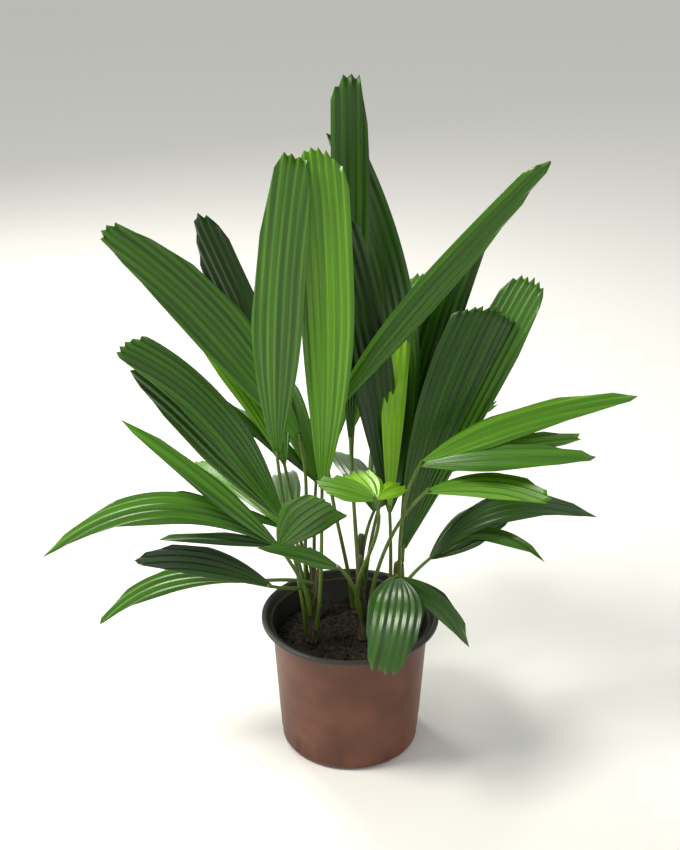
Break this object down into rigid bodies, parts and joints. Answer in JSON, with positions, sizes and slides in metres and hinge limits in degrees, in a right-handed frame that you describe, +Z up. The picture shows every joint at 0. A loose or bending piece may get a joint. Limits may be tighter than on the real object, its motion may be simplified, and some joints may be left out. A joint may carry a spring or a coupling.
{
  "type": "potted licuala palm",
  "caption": "Clumping fan palm with long pleated leaf segments on thin petioles, growing in a round thermoformed nursery pot.",
  "frame": {"origin": "centre of the pot's flat underside, on the plane the pot stands on", "axes": "+Z up along the pot's axis; the side that the picture shows faces -Y"},
  "size_m": [0.6497, 0.4682, 0.786],
  "materials": {
    "pot_plastic": "moulded satin",
    "soil_mix": "rough",
    "stem_fibre": "fibrous",
    "leaf_blade": "glossy"
  },
  "bodies": {
    "root": {"leaf_back_1": "leaf_blade", "leaf_back_2": "leaf_blade", "leaf_back_3": "leaf_blade", "leaf_back_4": "leaf_blade", "leaf_back_5": "leaf_blade", "leaf_back_6": "leaf_blade", "leaf_bright_front": "leaf_blade", "leaf_drooping": "leaf_blade", "leaf_front": "leaf_blade", "leaf_front_left": "leaf_blade", "leaf_left_front": "leaf_blade", "leaf_left_high": "leaf_blade", "leaf_left_low": "leaf_blade", "leaf_left_lowest": "leaf_blade", "leaf_left_mid": "leaf_blade", "leaf_low_front": "leaf_blade", "leaf_middle": "leaf_blade", "leaf_right_back": "leaf_blade", "leaf_right_broad": "leaf_blade", "leaf_right_front": "leaf_blade", "leaf_right_high": "leaf_blade", "leaf_right_low": "leaf_blade", "leaf_tall": "leaf_blade", "pot": "pot_plastic", "soil": "soil_mix", "stem_back": "stem_fibre", "stem_back_left": "stem_fibre", "stem_left": "stem_fibre", "stem_middle": "stem_fibre", "stem_right": "stem_fibre"}
  },
  "joints": []
}
